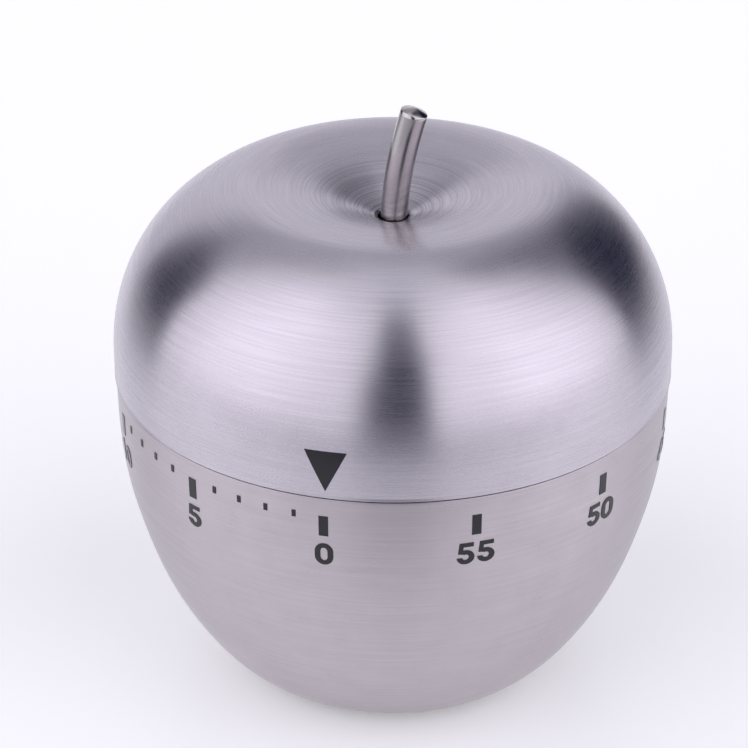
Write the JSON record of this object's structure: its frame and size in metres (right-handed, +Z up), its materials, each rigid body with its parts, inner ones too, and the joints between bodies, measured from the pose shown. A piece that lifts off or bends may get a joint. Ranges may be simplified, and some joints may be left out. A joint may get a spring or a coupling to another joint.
{
  "type": "kitchen timer",
  "caption": "Wind-up kitchen timer shaped like an apple, in two brushed steel halves with a bent stem; the upper half turns over a printed minute scale.",
  "frame": {"origin": "centre of the face that the timer rests on", "axes": "+Z up along the axis that the upper half turns about; the 0 mark faces -Y, and the minutes run clockwise seen from above"},
  "size_m": [0.062, 0.0621, 0.0676],
  "materials": {
    "brushed_shell": "concentric brushed stainless steel",
    "polished_stem": "polished stainless steel",
    "black_ink": "screen-printed ink, semi-matt",
    "black_abs": "moulded ABS",
    "rubber_foot": "soft rubber, matt",
    "plated_steel": "zinc-plated sheet and turned steel",
    "spring_steel": "blued spring steel",
    "brass": "stamped brass",
    "acetal": "natural acetal",
    "bell_steel": "nickel-plated bell steel"
  },
  "bodies": {
    "base": {"lower_shell": "brushed_shell", "lower_liner": "black_abs", "minute_scale": "black_ink", "base_cover": "black_abs", "base_screws": "plated_steel", "foot_ring": "rubber_foot", "bottom_plate": "plated_steel", "top_plate": "plated_steel", "plate_pillars": "plated_steel", "pillar_nuts": "plated_steel", "movement_screws": "plated_steel", "mainspring": "spring_steel", "spring_barrel": "plated_steel", "barrel_cover": "plated_steel", "bell": "bell_steel", "bell_post": "plated_steel", "bell_screw": "plated_steel"},
    "cap": {"upper_shell": "brushed_shell", "upper_liner": "black_abs", "stem": "polished_stem", "stem_nut": "plated_steel", "pointer_mark": "black_ink", "main_arbor": "plated_steel", "main_wheel": "brass", "ratchet_washer": "spring_steel", "spring_collet": "plated_steel", "cam_disc": "brass", "stop_pin": "plated_steel"},
    "second": {"second_arbor": "plated_steel", "second_wheel": "brass", "strike_star": "brass"},
    "third": {"third_arbor": "plated_steel", "third_wheel": "acetal"},
    "escape": {"escape_arbor": "plated_steel", "escape_wheel": "acetal"},
    "verge": {"verge_arbor": "plated_steel", "verge_lever": "plated_steel", "pallet_pins": "plated_steel", "inertia_bar": "plated_steel"},
    "release": {"release_arbor": "plated_steel", "release_arm": "plated_steel", "block_arm": "plated_steel"},
    "hammer": {"hammer_arbor": "plated_steel", "hammer_tail": "plated_steel", "hammer_arm": "plated_steel", "hammer_head": "brass"}
  },
  "joints": [
    {"name": "cap_turn", "type": "hinge", "parent": "base", "child": "cap", "pos_m": [0, 0, 0.037], "axis": [0, 0, 1], "range_deg": [-354, 0]},
    {"name": "second_spin", "type": "hinge", "parent": "base", "child": "second", "pos_m": [-0.0022, 0.01246, 0.021], "axis": [0, 0, 1], "continuous": true},
    {"name": "third_spin", "type": "hinge", "parent": "base", "child": "third", "pos_m": [0.0073, 0.01129, 0.021], "axis": [0, 0, 1], "continuous": true},
    {"name": "escape_spin", "type": "hinge", "parent": "base", "child": "escape", "pos_m": [0.01359, 0.00478, 0.021], "axis": [0, 0, 1], "continuous": true},
    {"name": "verge_rock", "type": "hinge", "parent": "base", "child": "verge", "pos_m": [0.01473, -0.00172, 0.021], "axis": [0, 0, 1], "range_deg": [-4.5, 4.5]},
    {"name": "release_drop", "type": "hinge", "parent": "base", "child": "release", "pos_m": [-0.01644, -0.00599, 0.021], "axis": [0, 0, 1], "range_deg": [0, 3.1]},
    {"name": "hammer_swing", "type": "hinge", "parent": "base", "child": "hammer", "pos_m": [-0.01212, 0.007, 0.018], "axis": [0, 0, 1], "range_deg": [-2.4, 8]}
  ],
  "couplings": [
    {"joint": "second_spin", "follows": "cap_turn", "ratio": -6},
    {"joint": "third_spin", "follows": "cap_turn", "ratio": 45},
    {"joint": "escape_spin", "follows": "cap_turn", "ratio": -360}
  ]
}
